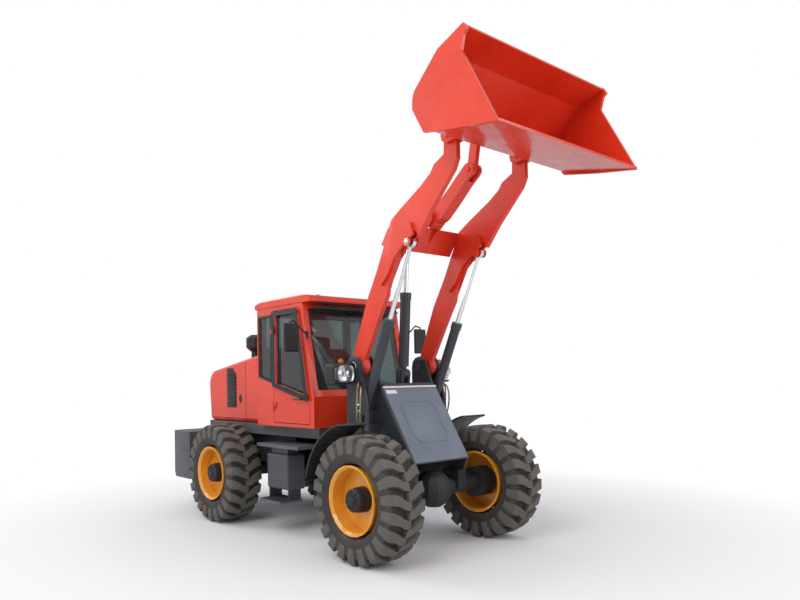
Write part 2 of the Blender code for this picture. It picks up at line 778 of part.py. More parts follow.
screen = sheet(screen_path(SCREEN_LOW + 0.002, CAB_TOP - 0.062), -GLASS)
half = SCREEN_HALF - PANE_GAP
finish(flat([screen], -half, half), "windshield", rear_body, "cab_glass")
low = (CAB_REAR + GLASS_INSET, -0.60 + PANE_GAP, REAR_SCREEN[0] + PANE_GAP)
high = (CAB_REAR + GLASS_INSET + GLASS, 0.60 - PANE_GAP, REAR_SCREEN[1] - PANE_GAP)
finish(box(low, high), "rear_window", rear_body, "cab_glass")

PANE = (CAB_HALF - GLASS_INSET - GLASS, CAB_HALF - GLASS_INSET)
for side_name, side in SIDES:
    pane = side_plate(side, [shrink(quarter_window(), PANE_GAP)], *PANE)
    finish(pane, f"quarter_window_{side_name}", rear_body, "cab_glass")
    body = add_body(f"door_{side_name}_body", DOOR_REAR, side * HINGE_OUT, DOOR_SILL, rear_body)
    door = side_plate(side, [door_outline(), door_window()], CAB_HALF - CAB_WALL, CAB_HALF)
    pieces = [door]
    for z in HINGE_HEIGHTS:
        pieces += knuckle(side, z + SEAT_GAP, z + KNUCKLE_LONG, 1)
    finish(union(pieces), f"door_{side_name}", body, "red_paint")
    pane = side_plate(side, [shrink(door_window(), PANE_GAP)], *PANE)
    finish(pane, f"door_glass_{side_name}", body, "cab_glass")

CAB_INSIDE = CAB_FLOOR + CAB_WALL + SEAT_GAP
SEAT_X = CAB_REAR + 0.48
WHEEL_AT = Vector((CAB_FRONT - 0.38, 0, 1.86))
WHEEL_TILT = math.radians(30)


def operator_seat():
    x = SEAT_X
    pieces = [
        box((x - 0.18, -0.20, CAB_INSIDE), (x + 0.16, 0.20, 1.56)),
        round_edges(box((x - 0.26, -0.25, 1.55), (x + 0.26, 0.25, 1.68)), 0.03),
        round_edges(box((x - 0.34, -0.24, 1.57), (x - 0.22, 0.24, 2.26)), 0.03),
    ]
    return union(pieces)


def steering_console():
    x = CAB_FRONT - 0.10
    column = rod((x - 0.12, 0, 1.55), WHEEL_AT, 0.035, 16)
    pieces = [box((x - 0.22, -0.13, CAB_INSIDE), (x, 0.13, 1.60)), column]
    tilt = Matrix.Translation(WHEEL_AT) @ Matrix.Rotation(-WHEEL_TILT, 4, "Y")
    hub = rod(tilt @ Vector((0, 0, -0.04)), tilt @ Vector((0, 0, 0.02)), 0.04, 16)
    pieces.append(hub)
    for angle in (90, 210, 330):
        a = math.radians(angle)
        pieces.append(rod(WHEEL_AT, tilt @ Vector((0.19 * math.cos(a), 0.19 * math.sin(a), 0)), 0.012, 10))
    rim = [(0.19 + 0.016 * math.cos(a), 0.016 * math.sin(a)) for a in [math.radians(60 * i) for i in range(6)]]
    wheel = turned(rim, (0, 0, 0), 1, 20)
    wheel.data.transform(tilt @ Matrix.Rotation(math.pi / 2, 4, "X"))
    pieces.append(wheel)
    return union(pieces)


finish(operator_seat(), "operator_seat", rear_body, "seat_vinyl")
finish(steering_console(), "steering_console", rear_body, "black_plastic")

# ---------------------------------------------------------------- tanks and steps
TANK_X = (CAB_REAR + 0.35, HINGE_X - 0.03)
TANK_Y = (RAIL_OUTER + SEAT_GAP, 0.80)
TANK_Z = (0.50, 0.89)
STEP_Z = 0.39
STEP_Y = (0.60, 0.90)


def tank_with_steps(side):
    front = RAIL_FRONT + 0.02
    tank = round_edges(side_box(side, TANK_X, (0.56, TANK_Y[1]), TANK_Z), 0.02)
    pieces = [tank]
    pieces.append(side_box(side, (TANK_X[0] + 0.02, front), (TANK_Y[0], 0.60), (0.56, 0.84)))
    pieces.append(side_box(side, (TANK_X[0] + 0.05, TANK_X[1] - 0.05), (0.60, 0.76), (0.85, PLATFORM_Z[0] - SEAT_GAP)))
    pieces.append(side_box(side, TANK_X, STEP_Y, (STEP_Z - 0.03, STEP_Z)))
    for x, inward in zip(TANK_X, (1, -1)):
        xs = sorted((x + inward * 0.01, x + inward * 0.03))
        pieces.append(side_box(side, xs, (0.62, 0.78), (STEP_Z - 0.02, TANK_Z[0] + 0.05)))
    return union(pieces)


for (side_name, side), name in zip(SIDES, ("fuel_tank", "hydraulic_tank")):
    finish(tank_with_steps(side), name, rear_body, "frame_paint")

# ---------------------------------------------------------------- mirrors
MIRROR_FOOT = (CAB_FRONT - 0.10, 2.20)
MIRROR_AT = Vector((CAB_FRONT - 0.02, 0.95, 2.16))


def mirror(side):
    def place(x, y, z):
        return (x, side * y, z)

    foot_x, foot_z = MIRROR_FOOT
    foot_y = CAB_HALF + SEAT_GAP
    arm = tube([
        place(foot_x, foot_y + 0.005, foot_z),
        place(foot_x + 0.02, foot_y + 0.06, foot_z + 0.03),
        place(MIRROR_AT.x - 0.06, MIRROR_AT.y - 0.04, MIRROR_AT.z + 0.19),
        place(MIRROR_AT.x - 0.023, MIRROR_AT.y + 0.003, MIRROR_AT.z + 0.17),
        place(MIRROR_AT.x - 0.023, MIRROR_AT.y + 0.003, MIRROR_AT.z - 0.05),
    ], 0.01)
    ys = sorted((side * foot_y, side * (foot_y + 0.01)))
    plate = box((foot_x - 0.025, ys[0], foot_z - 0.04), (foot_x + 0.025, ys[1], foot_z + 0.04))
    low = Vector((MIRROR_AT.x - 0.045, MIRROR_AT.y - 0.09, MIRROR_AT.z - 0.15))
    high = Vector((MIRROR_AT.x - 0.005, MIRROR_AT.y + 0.09, MIRROR_AT.z + 0.15))
    head = side_box(side, (low.x, high.x), (low.y, high.y), (low.z, high.z))
    return union([plate, arm, round_edges(head, 0.015)], MANY_PLATES)


for side_name, side in SIDES:
    finish(mirror(side), f"mirror_{side_name}", rear_body, "black_plastic")

# ---------------------------------------------------------------- front frame
SHIELD_TOP = Vector((-0.285, 1.63))
SHIELD_LOW = Vector((0.172, 0.884))
SHIELD_THICK = 0.025
SHIELD_LIP = 0.004  # the shield's edge past the side plates
TOWER_REAR = BOOM_PIVOT.x - 0.125
TOWER_FRONT = BOOM_PIVOT.x + 0.19
TOWER_HUB = 0.11
GUSSET_Z = (1.20, 1.25)
BOOM_PIN = 0.04
LIFT_PIN = 0.028
TILT_PIN = 0.025
EYE_SIDE = 0.003  # between a cylinder's eye and the plates that hold it
BARREL_EYE = 0.03  # half the width of a barrel's eye
ROD_EYE = 0.0225  # half the width of a rod's eye
NECK_X = (HINGE_X + 0.14, TOWER_REAR + 0.03)
BOSS = 0.012


def front_frame():
    normal = (SHIELD_TOP - SHIELD_LOW).normalized()
    behind = Vector((-normal.y, normal.x)) * SHIELD_THICK / 2
    seat, low = FRONT_SEAT_Z, FRONT_LUG[0]
    wall = [
        tuple(SHIELD_LOW + behind),
        (SHIELD_LOW.x - 0.05, seat),
        (-0.16, seat),
        (-0.30, low),
        (TOWER_REAR, low),
        *arc(BOOM_PIVOT, TOWER_HUB, 180, 0, 6),
        tuple(SHIELD_TOP + behind),
    ]
    tower = [
        (TOWER_REAR, GUSSET_Z[0] - 0.01),
        *arc(BOOM_PIVOT, TOWER_HUB, 180, 0, 6),
        (TOWER_FRONT, BOOM_PIVOT.y - 0.39),
        (TOWER_FRONT, GUSSET_Z[0] - 0.01),
    ]
    half = FRAME_HALF
    inner = half - FRAME_PLATE
    outer = TOWER_INNER + TOWER_PLATE
    beam_top = SHIELD_TOP.y + 0.03
    pieces = [
        flat([sheet([SHIELD_LOW, SHIELD_TOP], SHIELD_THICK)], -half - SHIELD_LIP, half + SHIELD_LIP),
        box((SHIELD_TOP.x - 0.18, -inner - 0.01, SHIELD_TOP.y - 0.02), (SHIELD_TOP.x, inner + 0.01, beam_top)),
        box((TOWER_REAR, -inner - 0.01, low), (TOWER_REAR + 0.03, inner + 0.01, 1.40)),
        box((NECK_X[0] - 0.06, -0.12, low), (NECK_X[1], 0.12, FRONT_LUG[1])),
        flat([[*arc((HINGE_X, 0), LUG_RADIUS, 90, 270, 8), (NECK_X[0], -0.13), (NECK_X[0], 0.13)]],
             *FRONT_LUG, PLAN),
    ]
    wide = inner + 0.01
    neck = [(NECK_X[0] - 0.02, -0.11), (NECK_X[1] - 0.005, -wide), (NECK_X[1] - 0.005, wide), (NECK_X[0] - 0.02, 0.11)]
    for floor in (low + 0.005, FRONT_LUG[1] - 0.045):
        pieces.append(flat([neck], floor, floor + 0.04, PLAN))
    ear = [(TILT_BASE.x - 0.06, beam_top - 0.01), *arc(TILT_BASE, 0.05, 180, 0, 6),
           (TILT_BASE.x + 0.035, beam_top - 0.01)]
    for _, side in SIDES:
        pieces.append(side_plate(side, [wall], inner, half))
        pieces.append(side_plate(side, [tower], TOWER_INNER, outer))
        pieces.append(side_box(side, (TOWER_REAR + 0.01, TOWER_FRONT - 0.01), (inner + 0.01, outer - 0.01), GUSSET_Z))
        pieces.append(side_plate(side, [ear], BARREL_EYE + EYE_SIDE, BARREL_EYE + EYE_SIDE + 0.025))
        pieces.append(pin(BOOM_PIVOT, side, inner - BOSS, outer + BOSS, BOOM_PIN))
        pieces.append(pin(LIFT_BASE, side, inner + 0.01, outer + BOSS, LIFT_PIN))
        reach = (STEER_EYE.x - 0.05, STEER_EYE.x + 0.06)
        pieces += clevis(side, STEER_EYE, reach, (0.10, STEER_EYE.y + 0.05))
    pieces.append(rod(at(TILT_BASE, -0.065), at(TILT_BASE, 0.065), TILT_PIN))
    bore = rod((HINGE_X, 0, low - 0.1), (HINGE_X, 0, FRONT_LUG[1] + 0.1), bore_for(HINGE_PIN))
    return cut(union(pieces, MANY_PLATES), [bore], MANY_PLATES)


def bore_for(radius):
    """A hole's radius that clears a pin with as many sides, whichever way it is turned."""
    return radius / math.cos(math.pi / ROUND) + 0.0003


finish(front_frame(), "front_frame", front_body, "frame_paint")

FENDER_IN = TYRE_RADIUS + 0.10
FENDER_THICK = 0.02
FENDER_Y = (TRACK / 2 - TYRE_WIDTH / 2 + 0.02, TRACK / 2 + TYRE_WIDTH / 2)
FENDER_FROM, FENDER_TO = 104, 168


def fender(side):
    centre = (0, AXLE_Z)
    outer = arc(centre, FENDER_IN + FENDER_THICK, FENDER_FROM, FENDER_TO, 10)
    inner = arc(centre, FENDER_IN, FENDER_TO, FENDER_FROM, 10)
    arch = side_plate(side, [outer + inner], *FENDER_Y)
    seat = TOWER_INNER + TOWER_PLATE + SEAT_GAP
    x = (TOWER_REAR + 0.05, TOWER_FRONT - 0.05)
    bracket = side_box(side, x, (seat, seat + 0.015), (GUSSET_Z[0] - 0.12, GUSSET_Z[1] + 0.10))
    shelf = side_box(side, x, (seat, FENDER_Y[0] + 0.05), (GUSSET_Z[0] - 0.10, GUSSET_Z[0] - 0.08))
    return union([arch, bracket, shelf])


LAMP_X = (BOOM_PIVOT.x - 0.15, BOOM_PIVOT.x + 0.02)
LAMP_Y = (0.60, 0.84)
LAMP_Z = (1.66, 1.87)


def headlight(side):
    seat = TOWER_INNER + TOWER_PLATE + BOSS + SEAT_GAP
    head = round_edges(side_box(side, LAMP_X, LAMP_Y, LAMP_Z), 0.03)
    plate = side_box(side, (LAMP_X[0] + 0.02, LAMP_X[1] - 0.03), (seat, LAMP_Y[0] + 0.05), (1.69, 1.80))
    return union([head, plate])


for side_name, side in SIDES:
    finish(fender(side), f"fender_{side_name}", front_body, "black_plastic")
    finish(headlight(side), f"headlight_{side_name}", front_body, "black_plastic")


# ---------------------------------------------------------------- hydraulic cylinders
BORE_GAP = 0.0005
BORE_START = 0.085  # from the base pin to the barrel's closed end
NECK = 0.075
COLLAR = 0.006
ROD_EYE_RATIO = 2.2
CYLINDERS = (
    # name, base, eye, pin direction, barrel length, barrel radius, rod radius, rod length, base pin radius
    *((f"steering_%s_{s}", (STEER_BASE.x, k * STEER_BASE.y, STEER_Z), (STEER_EYE.x, k * STEER_EYE.y, STEER_Z),
       "Z", 0.58, 0.042, 0.02, 0.61, 0.018, rear_body) for s, k in SIDES),
    *((f"lift_%s_{s}", at(LIFT_BASE, k * ARM_CENTRE), at(LIFT_EYE, k * ARM_CENTRE),
       "Y", LIFT_BARREL, 0.05, 0.0225, 0.96, LIFT_PIN, front_body) for s, k in SIDES),
    ("tilt_%s", at(TILT_BASE, 0), at(ROCKER_FOOT, 0),
     "Y", TILT_BARREL, 0.055, 0.023, 0.96, TILT_PIN, front_body),
)


def cylinder(names, base, eye, pin_axis, barrel_long, radius, rod_radius, rod_long, pin_radius, carrier):
    """A barrel with its eye on the base pin, and a rod that slides in its bore and ends in an eye."""
    base, eye = Vector(base), Vector(eye)
    along = (eye - base).normalized()
    across = Vector((0, 1, 0)) if pin_axis == "Y" else Vector((0, 0, 1))
    head = base + along * barrel_long
    barrel_body = add_body(names % "barrel" + "_body", *base, carrier)
    rod_body = add_body(names % "rod" + "_body", *eye, barrel_body)
    barrel = union([
        rod(base - across * BARREL_EYE, base + across * BARREL_EYE, radius - 0.002),
        rod(base, base + along * (NECK + 0.01), radius * 0.6),
        rod(base + along * NECK, head, radius),
        rod(head - along * 0.07, head, radius + COLLAR),
    ])
    barrel = cut(barrel, [
        rod(base - across * 0.2, base + across * 0.2, bore_for(pin_radius)),
        rod(base + along * BORE_START, head + along * 0.05, rod_radius + BORE_GAP),
    ])
    finish(barrel, names % "barrel", barrel_body, "cylinder_paint")
    shaft = rod(eye - along * rod_long, eye - along * 0.02, rod_radius)
    end = rod(eye - across * ROD_EYE, eye + across * ROD_EYE, rod_radius * ROD_EYE_RATIO)
    finish(union([shaft, end]), names % "rod", rod_body, "chrome")


for row in CYLINDERS:
    cylinder(*row)

# ---------------------------------------------------------------- boom
ARM_REAR = ((-0.575, 1.95), (-0.351, 2.486), (-0.179, 2.786), (0.04, 3.241), (0.175, 3.324),
            (0.455, 3.48), (0.573, 3.565), (0.62, 3.63), (0.743, 3.692))
ARM_FRONT = ((0.895, 3.76), (0.895, 3.62), (0.85, 3.53), (0.562, 3.225), (0.40, 3.02),
             (0.203, 2.875), (0.021, 2.631), (-0.151, 2.346), (-0.40, 1.90))
CHEEK = ((-0.10, 2.62), (-0.01, 2.70), (0.09, 2.86), (0.23, 2.975), (0.36, 3.05), (0.33, 3.16),
         (0.20, 3.20), (0.09, 3.12), (-0.02, 2.86))
HUB_HALF = 0.066
ARM_HALF = ARM_THICK / 2
TIP_HUB = 0.07
TIP_PIN = 0.03
ROCKER_PIN = 0.035
BRACKET_Y = (ROCKER_THICK / 2 + 0.011, ROCKER_THICK / 2 + 0.040)
EYE_SLOT = 0.125


def ring_hub(point, side, half, radius):
    return pin(point, side, ARM_CENTRE - half, ARM_CENTRE + half, radius)


def boom():
    arm = [*ARM_REAR, *arc(BUCKET_PIN, TIP_HUB, 170, 0, 6), *ARM_FRONT,
           *arc(BOOM_PIVOT, 0.11, -10, -170, 6)]
    slot_end = LIFT_EYE - (LIFT_EYE - LIFT_BASE).normalized() * 0.5
    slot = ribbon([slot_end, LIFT_EYE], [EYE_SLOT, EYE_SLOT])
    pieces = []
    for _, side in SIDES:
        plate = side_plate(side, [arm], ARM_CENTRE - ARM_HALF, ARM_CENTRE + ARM_HALF)
        plate = cut(plate, [side_plate(side, [slot], ARM_CENTRE - 0.1, ARM_CENTRE + 0.1)])
        pieces.append(plate)
        for inner in (ARM_CENTRE - ARM_HALF - CHEEK_THICK, ARM_CENTRE + ARM_HALF):
            pieces.append(side_plate(side, [CHEEK], inner, inner + CHEEK_THICK))
        for boss in (ARM_CENTRE - ARM_HALF - CHEEK_THICK - BOSS, ARM_CENTRE + ARM_HALF + CHEEK_THICK - 0.005):
            pieces.append(pin(LIFT_EYE, side, boss, boss + BOSS + 0.005, 0.045))
        pieces.append(ring_hub(BOOM_PIVOT, side, HUB_HALF - 0.015, 0.10))
    across = (CROSS_HIGH - CROSS_LOW).normalized()
    rear = Vector((-across.y, across.x)) * CROSS_THICK
    panel = [CROSS_LOW, CROSS_HIGH, CROSS_HIGH + rear - across * CROSS_BEVEL, CROSS_LOW + rear]
    reach = ARM_CENTRE - ARM_HALF + 0.005
    pieces.append(flat([[tuple(p) for p in panel]], -reach, reach))
    ear = [tuple(CROSS_HIGH - across * 0.16), tuple(CROSS_HIGH + rear - across * (CROSS_BEVEL + 0.03)),
           *arc(ROCKER_PIVOT, 0.075, 150, -60, 6)]
    for _, side in SIDES:
        pieces.append(side_plate(side, [ear], *BRACKET_Y))
    whole = union(pieces, MANY_PLATES)
    cutters = []
    for _, side in SIDES:
        cutters.append(pin(BOOM_PIVOT, side, 0.3, 0.7, bore_for(BOOM_PIN)))
        cutters.append(pin(BUCKET_PIN, side, 0.3, 0.7, bore_for(TIP_PIN)))
    whole = cut(whole, cutters, MANY_PLATES)
    reach = BRACKET_Y[1] + BOSS
    rocker_pin = rod(at(ROCKER_PIVOT, -reach), at(ROCKER_PIVOT, reach), ROCKER_PIN)
    return union([whole, rocker_pin], MANY_PLATES)


finish(boom(), "boom", boom_body, "boom_paint")

# ---------------------------------------------------------------- rocker and link
LINK_TIP_PIN = 0.025
FORK_SLOT = ROD_EYE + 0.006
TIP_SLOT = LINK_THICK / 2 + 0.007
FORK_DEEP = 0.19
ROCKER_PATH = ((0.24, 3.34), (0.33, 3.41), (0.44, 3.50), (0.54, 3.59))


def rocker():
    half = ROCKER_THICK / 2
    upper = ribbon([ROCKER_PIVOT, *ROCKER_PATH, ROCKER_TIP], [0.085, 0.075, 0.07, 0.065, 0.062, 0.065])
    lower = ribbon([ROCKER_PIVOT, ROCKER_FOOT], [0.075, 0.05])
    body = union([
        flat([upper], -half, half),
        flat([lower], -half + 0.005, half - 0.005),
        rod(at(ROCKER_PIVOT, -half - 0.005), at(ROCKER_PIVOT, half + 0.005), 0.095),
        rod(at(ROCKER_FOOT, -half - BOSS), at(ROCKER_FOOT, half + BOSS), 0.03),
    ], MANY_PLATES)
    inward = (ROCKER_PIVOT - ROCKER_FOOT).normalized()
    fork = ribbon([ROCKER_FOOT - inward * 0.2, ROCKER_FOOT + inward * (FORK_DEEP - 0.12)], [0.12, 0.12])
    tip = rod(at(ROCKER_TIP, -TIP_SLOT), at(ROCKER_TIP, TIP_SLOT), 0.105, 32)
    hole = rod(at(ROCKER_PIVOT, -0.3), at(ROCKER_PIVOT, 0.3), bore_for(ROCKER_PIN))
    body = cut(body, [flat([fork], -FORK_SLOT, FORK_SLOT), tip, hole], MANY_PLATES)
    tip_pin = rod(at(ROCKER_TIP, -half - BOSS), at(ROCKER_TIP, half + BOSS), LINK_TIP_PIN)
    return union([body, tip_pin], MANY_PLATES)


def tilt_link():
    half = LINK_THICK / 2
    body = flat([ribbon([ROCKER_TIP, LINK_PIN], [0.045, 0.045])], -half, half)
    return cut(body, [rod(at(ROCKER_TIP, -0.1), at(ROCKER_TIP, 0.1), bore_for(LINK_TIP_PIN))])


finish(rocker(), "rocker", rocker_body, "boom_paint")
finish(tilt_link(), "tilt_link", link_body, "boom_paint")

# ---------------------------------------------------------------- bucket
BUCKET_SIDES = ((1.43, 4.43), (1.465, 4.37), (1.43, 4.34), (1.40, 4.23), (1.735, 3.57), (1.344, 3.634),
                (0.98, 3.709), (0.857, 3.935), (0.858, 4.01), (0.879, 4.08), (1.153, 4.33))
BUCKET_SHELL = ((1.731, 3.576), (1.344, 3.655), (1.0, 3.73), (0.93, 3.79), (0.885, 3.90), (0.885, 4.03),
                (0.905, 4.09), (1.16, 4.34), (1.43, 4.425))
EAR_INNER = (ARM_CENTRE - ARM_HALF - 0.039, ARM_CENTRE - ARM_HALF - 0.009)
EAR_OUTER = (ARM_CENTRE + ARM_HALF + 0.009, ARM_CENTRE + ARM_HALF + 0.039)
LINK_EAR = (LINK_THICK / 2 + 0.010, LINK_THICK / 2 + 0.035)


def bucket():
    shell = sheet(BUCKET_SHELL[::-1], BUCKET_PLATE)
    half = BUCKET_HALF
    pieces = [flat([shell], -half + 0.01, half - 0.01)]
    arm_ear = [(0.95, 3.79), *arc(BUCKET_PIN, 0.075, 300, 90, 5), (0.90, 3.97), (0.95, 3.95)]
    link_ear = [(0.93, 3.91), *arc(LINK_PIN, 0.055, 270, 90, 5), (0.93, 4.11)]
    for _, side in SIDES:
        pieces.append(side_plate(side, [BUCKET_SIDES], half - BUCKET_SIDE, half))
        for reach in (EAR_INNER, EAR_OUTER):
            pieces.append(side_plate(side, [arm_ear], *reach))
        pieces.append(side_plate(side, [link_ear], *LINK_EAR))
        pieces.append(pin(LINK_PIN, side, LINK_EAR[0] + 0.005, LINK_EAR[1] + BOSS, 0.033))
        pieces.append(pin(BUCKET_PIN, side, EAR_INNER[0] - BOSS, EAR_OUTER[1] + BOSS, TIP_PIN))
    return union(pieces, MANY_PLATES)


finish(bucket(), "bucket", bucket_body, "red_paint")

# the origin is the middle of the machine's box on the ground
bpy.data.objects[rear_body].location.x = ORIGIN_X
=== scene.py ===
"""Wheel loader: finishes, tread, lamps, trim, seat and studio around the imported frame. Metres, +X forward, +Z up."""

import math

import bmesh
import bpy
from mathutils import Matrix, Vector


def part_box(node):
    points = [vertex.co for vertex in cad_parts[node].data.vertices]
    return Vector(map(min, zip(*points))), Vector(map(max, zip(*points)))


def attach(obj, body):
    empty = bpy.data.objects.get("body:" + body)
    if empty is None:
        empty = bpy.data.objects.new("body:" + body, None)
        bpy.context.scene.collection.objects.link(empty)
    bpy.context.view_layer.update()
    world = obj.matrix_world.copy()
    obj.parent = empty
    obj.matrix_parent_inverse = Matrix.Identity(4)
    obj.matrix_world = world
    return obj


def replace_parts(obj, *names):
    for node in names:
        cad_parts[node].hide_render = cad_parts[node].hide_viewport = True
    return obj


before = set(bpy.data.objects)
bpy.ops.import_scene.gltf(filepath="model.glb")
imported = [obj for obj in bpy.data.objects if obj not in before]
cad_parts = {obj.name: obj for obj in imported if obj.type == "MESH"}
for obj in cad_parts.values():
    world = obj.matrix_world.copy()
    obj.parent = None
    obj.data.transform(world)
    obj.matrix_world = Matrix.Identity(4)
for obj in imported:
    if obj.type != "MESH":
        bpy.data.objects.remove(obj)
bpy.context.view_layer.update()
scene = bpy.context.scene

TYRE_RADIUS = 0.595
FRONT_AXLE_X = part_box("front_right_tyre")[0].x + TYRE_RADIUS
TRACK_SIDES = (("right", -1), ("left", 1))


def place(x, y, z):
    """A point given from the front axle, in the frame's own coordinates."""
    return Vector((x + FRONT_AXLE_X, y, z))


# Camera -----------------------------------------------------------------------------------------
CAMERA_PLACE = (4.839, -4.944, 1.687)
AZIMUTH, ELEVATION, ROLL = (math.radians(a) for a in (51.304, -1.642, -1.088))
SENSOR, LENS, SHIFT = 36.0, 30.48, (0.0673, 0.0776)

level = math.cos(ELEVATION)
back = Vector((math.sin(AZIMUTH) * level, -math.cos(AZIMUTH) * level, math.sin(ELEVATION)))
right = Vector((0, 0, 1)).cross(back).normalized()
up = back.cross(right)
camera_x = math.cos(ROLL) * right + math.sin(ROLL) * up
camera_y = -math.sin(ROLL) * right + math.cos(ROLL) * up
camera = bpy.data.objects.new("camera", bpy.data.cameras.new("camera"))
scene.collection.objects.link(camera)
camera_turn = Matrix((camera_x, camera_y, back)).transposed().to_4x4()
camera.matrix_world = Matrix.Translation(place(*CAMERA_PLACE)) @ camera_turn
camera.data.sensor_width, camera.data.lens = SENSOR, LENS
camera.data.shift_x, camera.data.shift_y = SHIFT
scene.camera = camera


# Materials --------------------------------------------------------------------------------------
DUST_COLOUR, BUMP_DEPTH = (0.36, 0.32, 0.27), 0.004


def material(
    name, dark, light, rough=(0.3, 0.45), metallic=0.0, grain=40.0, bump=0.05, coat=0.0, worn=None, dust=0.0
):
    """A node material: two tones on noise, mottled roughness, fine bump, worn edges and dust on tops."""
    made = bpy.data.materials.new(name)
    made.use_nodes = True
    tree = made.node_tree
    add, link = tree.nodes.new, tree.links.new
    shader = tree.nodes["Principled BSDF"]
    where = add("ShaderNodeTexCoord").outputs["Object"]

    def noise(scale, detail=4.0):
        made_noise = add("ShaderNodeTexNoise")
        made_noise.inputs["Scale"].default_value = scale
        made_noise.inputs["Detail"].default_value = detail
        link(where, made_noise.inputs["Vector"])
        return made_noise.outputs["Fac"]

    def ranged(value, low, high, to_low=0.0, to_high=1.0):
        ramp = add("ShaderNodeMapRange")
        for socket, number in zip(("From Min", "From Max", "To Min", "To Max"), (low, high, to_low, to_high)):
            ramp.inputs[socket].default_value = number
        link(value, ramp.inputs["Value"])
        return ramp.outputs["Result"]

    def mixed(amount, first, second):
        mix = add("ShaderNodeMix")
        mix.data_type = "RGBA"
        link(amount, mix.inputs["Factor"])
        for socket, colour in ((mix.inputs[6], first), (mix.inputs[7], second)):
            if isinstance(colour, tuple):
                socket.default_value = (*colour, 1)
            else:
                link(colour, socket)
        return mix.outputs[2]

    colour = mixed(ranged(noise(2.3), 0.35, 0.65), dark, light)
    if worn:
        edges = add("ShaderNodeNewGeometry").outputs["Pointiness"]
        colour = mixed(ranged(edges, 0.53, 0.62), colour, worn)
    if dust:
        normal = add("ShaderNodeSeparateXYZ")
        link(add("ShaderNodeNewGeometry").outputs["Normal"], normal.inputs[0])
        settled = add("ShaderNodeMath")
        settled.operation = "MULTIPLY"
        link(ranged(normal.outputs["Z"], 0.3, 1.0, 0.0, dust), settled.inputs[0])
        link(ranged(noise(9.0), 0.3, 0.7), settled.inputs[1])
        colour = mixed(settled.outputs[0], colour, DUST_COLOUR)
    link(colour, shader.inputs["Base Color"])
    link(ranged(noise(7.0), 0.3, 0.7, *rough), shader.inputs["Roughness"])
    shader.inputs["Metallic"].default_value = metallic
    shader.inputs["Coat Weight"].default_value = coat
    rough_up = add("ShaderNodeBump")
    rough_up.inputs["Strength"].default_value = bump
    rough_up.inputs["Distance"].default_value = BUMP_DEPTH
    link(noise(grain, 8.0), rough_up.inputs["Height"])
    link(rough_up.outputs["Normal"], shader.inputs["Normal"])
    return made


def glass(name, tint, transmission):
    made = material(name, tuple(0.85 * t for t in tint), tint, (0.02, 0.06), bump=0.01, grain=3.0)
    made.node_tree.nodes["Principled BSDF"].inputs["Transmission Weight"].default_value = transmission
    return made


RED = material("red_paint", (0.68, 0.036, 0.01), (0.76, 0.047, 0.014), (0.22, 0.36), coat=0.5, dust=0.03)
BOOM = material("boom_paint", (0.7, 0.033, 0.009), (0.78, 0.043, 0.012), (0.32, 0.46), coat=0.2, dust=0.03)
DARK = material("frame_paint", (0.02, 0.023, 0.032), (0.036, 0.04, 0.052), (0.35, 0.55),
                worn=(0.1, 0.1, 0.11), dust=0.1)
GREY = material("weight_paint", (0.075, 0.078, 0.085), (0.11, 0.115, 0.125), (0.5, 0.7), bump=0.12, dust=0.1)
SHIELD = material("shield_paint", (0.13, 0.155, 0.2), (0.17, 0.2, 0.25), (0.35, 0.5), dust=0.04)
CYLINDER = material("cylinder_paint", (0.028, 0.032, 0.042), (0.045, 0.05, 0.062), (0.3, 0.45))
CHROME = material("chrome", (0.72, 0.73, 0.75), (0.84, 0.85, 0.86), (0.06, 0.14), metallic=1.0, bump=0.01)
RUBBER = material("tyre_rubber", (0.03, 0.027, 0.026), (0.052, 0.046, 0.042), (0.75, 0.92), bump=0.35, grain=60.0,
                  worn=(0.11, 0.1, 0.088), dust=0.28)
RIM = material("rim_paint", (0.74, 0.29, 0.018), (0.86, 0.37, 0.03), (0.25, 0.4), coat=0.4, dust=0.08)
BLACK = material("black_plastic", (0.008, 0.008, 0.009), (0.018, 0.018, 0.02), (0.35, 0.55),
                 grain=220.0, bump=0.12, dust=0.08)
IRON = material("cast_iron", (0.016, 0.017, 0.02), (0.03, 0.031, 0.034), (0.5, 0.7), metallic=0.2,
                bump=0.25, grain=90.0)
VINYL = material("seat_vinyl", (0.014, 0.014, 0.016), (0.026, 0.026, 0.03), (0.5, 0.65), bump=0.2, grain=260.0)
BRASS = material("plated_tube", (0.3, 0.25, 0.13), (0.42, 0.36, 0.2), (0.25, 0.4), metallic=0.9)
# White for the blank plate; the shield's top flange also takes it as a painted highlight.
WHITE = material("blank_plate", (0.7, 0.7, 0.68), (0.8, 0.8, 0.78), (0.3, 0.4))
AMBER = glass("lamp_amber", (0.9, 0.3, 0.03), 0.5)
GLASS = glass("cab_glass", (0.3, 0.36, 0.36), 0.93)
LENS_GLASS = glass("lamp_lens", (0.95, 0.96, 0.97), 0.97)
SLOTS = {
    "red_paint": RED, "boom_paint": BOOM, "frame_paint": DARK, "weight_paint": GREY, "cylinder_paint": CYLINDER,
    "chrome": CHROME, "tyre_rubber": RUBBER, "rim_paint": RIM, "black_plastic": BLACK, "cab_glass": GLASS,
    "cast_iron": IRON, "seat_vinyl": VINYL,
}  # fmt: skip
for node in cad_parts.values():
    for held in node.material_slots:
        given = [finish for name, finish in SLOTS.items() if held.material and name in held.material.name]
        held.material = given[0] if given else DARK


# Mesh helpers -----------------------------------------------------------------------------------
def piece(name, mesh, finish, body, smooth=True):
    """A mesh made into a piece that rides on a body."""
    bmesh.ops.recalc_face_normals(mesh, faces=mesh.faces)
    data = bpy.data.meshes.new(name)
    mesh.to_mesh(data)
    mesh.free()
    obj = bpy.data.objects.new(name, data)
    scene.collection.objects.link(obj)
    data.materials.append(finish)
    if smooth:
        data.polygons.foreach_set("use_smooth", [True] * len(data.polygons))
        data.set_sharp_from_angle(angle=math.radians(35))
    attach(obj, body)
    return obj


